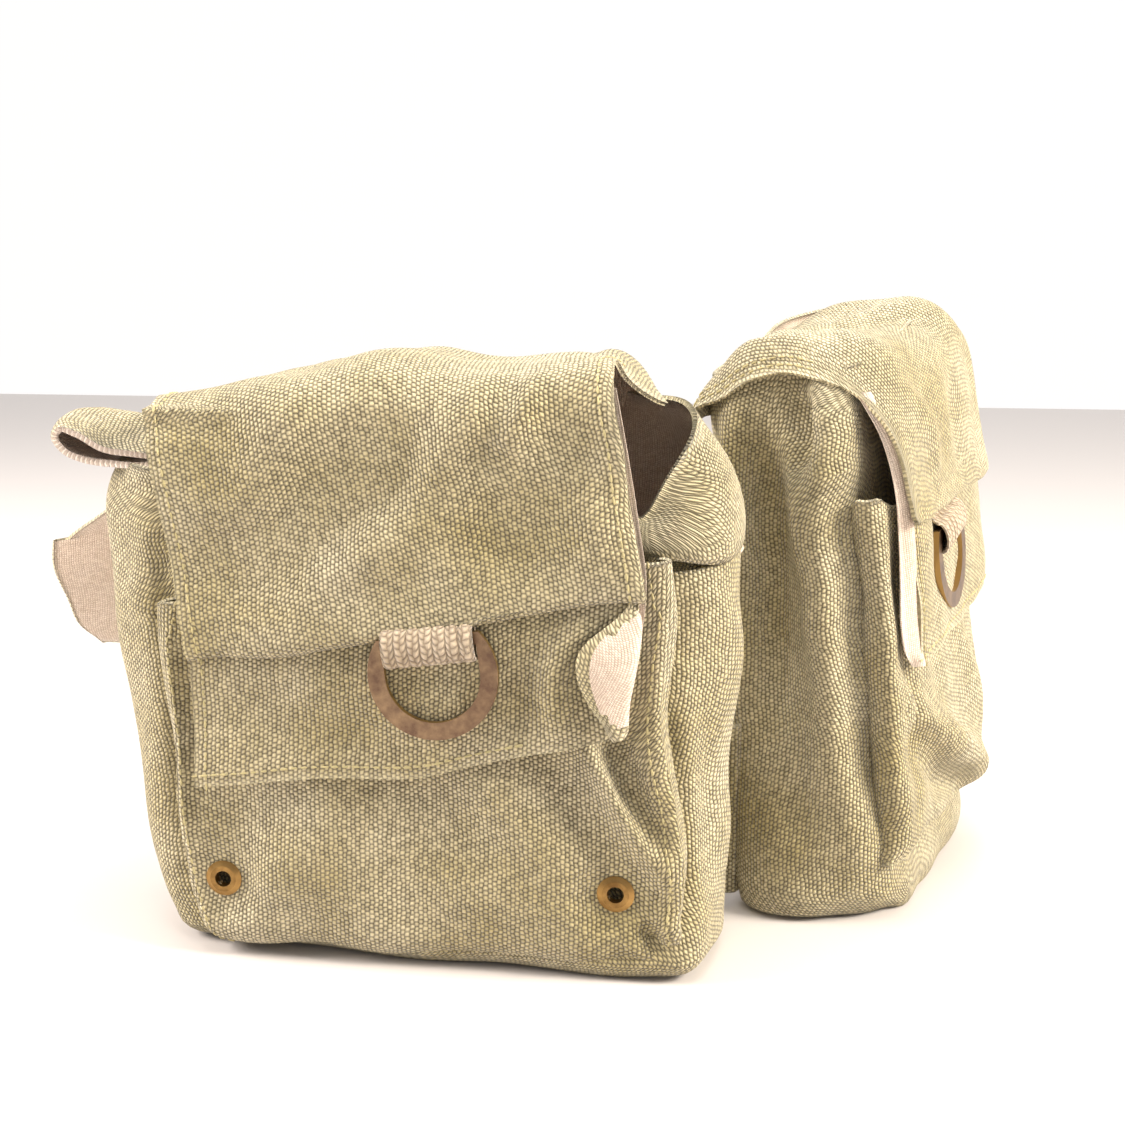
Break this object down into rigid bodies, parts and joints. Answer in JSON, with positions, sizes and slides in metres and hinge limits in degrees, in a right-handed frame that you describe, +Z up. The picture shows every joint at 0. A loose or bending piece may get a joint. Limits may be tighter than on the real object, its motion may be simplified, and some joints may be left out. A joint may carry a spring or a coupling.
{
  "type": "waist camera bag",
  "caption": "Waist camera bag of washed canvas: two padded pouches joined by a cloth hinge, each with a lifting flap, pull ring and front pocket.",
  "frame": {"origin": "on the floor under the middle of the main pouch", "axes": "+Z up, -Y out of the main pouch's front, +X towards the side pouch"},
  "size_m": [0.3538, 0.2425, 0.2184],
  "materials": {
    "canvas": "stone-washed khaki basket-weave cotton canvas",
    "lining_twill": "fine ribbed beige cotton lining",
    "foam": "closed-cell padding inside the walls",
    "webbing": "beige ribbed cotton webbing",
    "hook_and_loop": "khaki hook-and-loop tape",
    "brass": "antiqued stamped brass, bright at the edges",
    "leather": "tan leather patch"
  },
  "bodies": {
    "main_pouch": {"main_front_canvas": "canvas", "main_back_canvas": "canvas", "main_bottom_canvas": "canvas", "main_gusset_left_canvas": "canvas", "main_gusset_right_canvas": "canvas", "main_front_foam": "foam", "main_back_foam": "foam", "main_bottom_foam": "foam", "main_gusset_left_foam": "foam", "main_gusset_right_foam": "foam", "main_lining": "lining_twill", "main_ear_left": "canvas", "main_ear_right": "canvas", "main_pocket_panel": "canvas", "main_pocket_gusset": "canvas", "main_loop_tape": "hook_and_loop", "main_hinge_web": "canvas", "eyelet_left": "brass", "eyelet_right": "brass", "eyelet_washer_left": "brass", "eyelet_washer_right": "brass"},
    "side_pouch": {"side_front_canvas": "canvas", "side_back_canvas": "canvas", "side_bottom_canvas": "canvas", "side_gusset_left_canvas": "canvas", "side_gusset_right_canvas": "canvas", "side_front_foam": "foam", "side_back_foam": "foam", "side_bottom_foam": "foam", "side_gusset_left_foam": "foam", "side_gusset_right_foam": "foam", "side_lining": "lining_twill", "side_ear_left": "canvas", "side_ear_right": "canvas", "side_pocket_panel": "canvas", "side_pocket_gusset": "canvas", "side_loop_tape": "hook_and_loop", "side_hinge_web": "canvas"},
    "main_flap_top": {"main_flap_top_lining": "lining_twill", "main_flap_top_canvas": "canvas"},
    "main_flap_drop": {"main_flap_drop_lining": "lining_twill", "main_flap_lower_canvas": "canvas", "main_flap_upper_canvas": "canvas", "main_hook_tape": "hook_and_loop", "main_ring_tab": "webbing"},
    "main_ring": {"main_d_ring": "brass"},
    "side_flap_top": {"side_flap_top_lining": "lining_twill", "side_flap_top_canvas": "canvas"},
    "side_flap_drop": {"side_flap_drop_lining": "lining_twill", "side_flap_lower_canvas": "canvas", "side_flap_upper_canvas": "canvas", "side_hook_tape": "hook_and_loop", "side_ring_tab": "webbing"},
    "side_ring": {"side_d_ring": "brass"},
    "wing_left": {"wing_left_lining": "lining_twill", "wing_left_canvas": "canvas", "wing_left_patch": "leather"},
    "wing_right": {"wing_right_lining": "lining_twill", "wing_right_canvas": "canvas"}
  },
  "joints": [
    {"name": "main_flap_lift", "type": "hinge", "parent": "main_pouch", "child": "main_flap_top", "pos_m": [-0.02004, 0.0255, 0.1904], "axis": [-0.9917, 0, -0.1289], "range_deg": [0, 90]},
    {"name": "main_flap_unfold", "type": "hinge", "parent": "main_flap_top", "child": "main_flap_drop", "pos_m": [-0.02028, -0.0449, 0.1927], "axis": [-0.9917, 0, -0.1289], "range_deg": [0, 90]},
    {"name": "main_ring_swing", "type": "hinge", "parent": "main_flap_drop", "child": "main_ring", "pos_m": [0.00176, -0.0493, 0.11553], "axis": [-0.9917, 0, -0.1289], "range_deg": [0, 150]},
    {"name": "side_flap_lift", "type": "hinge", "parent": "side_pouch", "child": "side_flap_top", "pos_m": [0.1007, 0.10422, 0.19933], "axis": [-0.2865, -0.9417, -0.1762], "range_deg": [0, 90]},
    {"name": "side_flap_unfold", "type": "hinge", "parent": "side_flap_top", "child": "side_flap_drop", "pos_m": [0.16519, 0.08331, 0.20877], "axis": [-0.2865, -0.9417, -0.1762], "range_deg": [0, 90]},
    {"name": "side_ring_swing", "type": "hinge", "parent": "side_flap_drop", "child": "side_ring", "pos_m": [0.17095, 0.06301, 0.13902], "axis": [-0.2865, -0.9417, -0.1762], "range_deg": [0, 150]},
    {"name": "pouch_fold", "type": "hinge", "parent": "main_pouch", "child": "side_pouch", "pos_m": [0.097, 0.0255, 0], "axis": [0, 0, 1], "range_deg": [-72, 10]},
    {"name": "wing_left_fold", "type": "hinge", "parent": "main_pouch", "child": "wing_left", "pos_m": [-0.11874, 0.0259, 0], "axis": [0, 0, -1], "range_deg": [0, 100]},
    {"name": "wing_right_fold", "type": "hinge", "parent": "side_pouch", "child": "wing_right", "pos_m": [0.14092, 0.1615, -0.00001], "axis": [-0.0994, 0.0323, 0.9945], "range_deg": [0, 90]}
  ],
  "couplings": [
    {"joint": "main_flap_unfold", "follows": "main_flap_lift", "ratio": 1},
    {"joint": "side_flap_unfold", "follows": "side_flap_lift", "ratio": 1}
  ]
}
